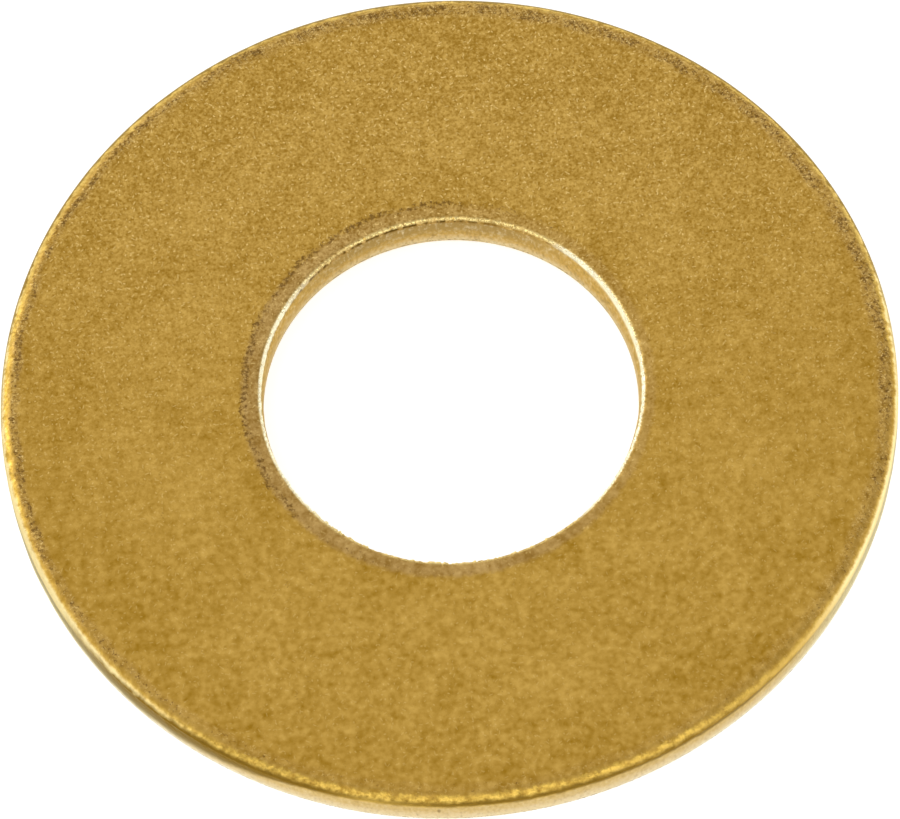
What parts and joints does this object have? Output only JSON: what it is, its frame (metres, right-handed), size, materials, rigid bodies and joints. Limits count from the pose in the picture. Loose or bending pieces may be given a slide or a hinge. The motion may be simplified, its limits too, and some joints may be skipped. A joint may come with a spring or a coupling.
{
  "type": "fender washer",
  "caption": "Flat round brass washer, a wide thin ring with a plain bore, punched corners worn smooth and slightly drawn-down edges.",
  "frame": {"origin": "on the axis of the bore, in the plane of the lower face that the washer lies on", "axes": "+Z is the axis of the bore, from the lower face to the upper face; X and Y lie in the plane of the faces, and every direction in that plane is alike"},
  "size_m": [0.0318, 0.0318, 0.0016],
  "materials": {
    "brass": "satin tumbled brass, fine grain and small sparkle, with a brown tarnish along both punched edges and bright worn corners"
  },
  "bodies": {
    "root": {"washer": "brass"}
  },
  "joints": []
}
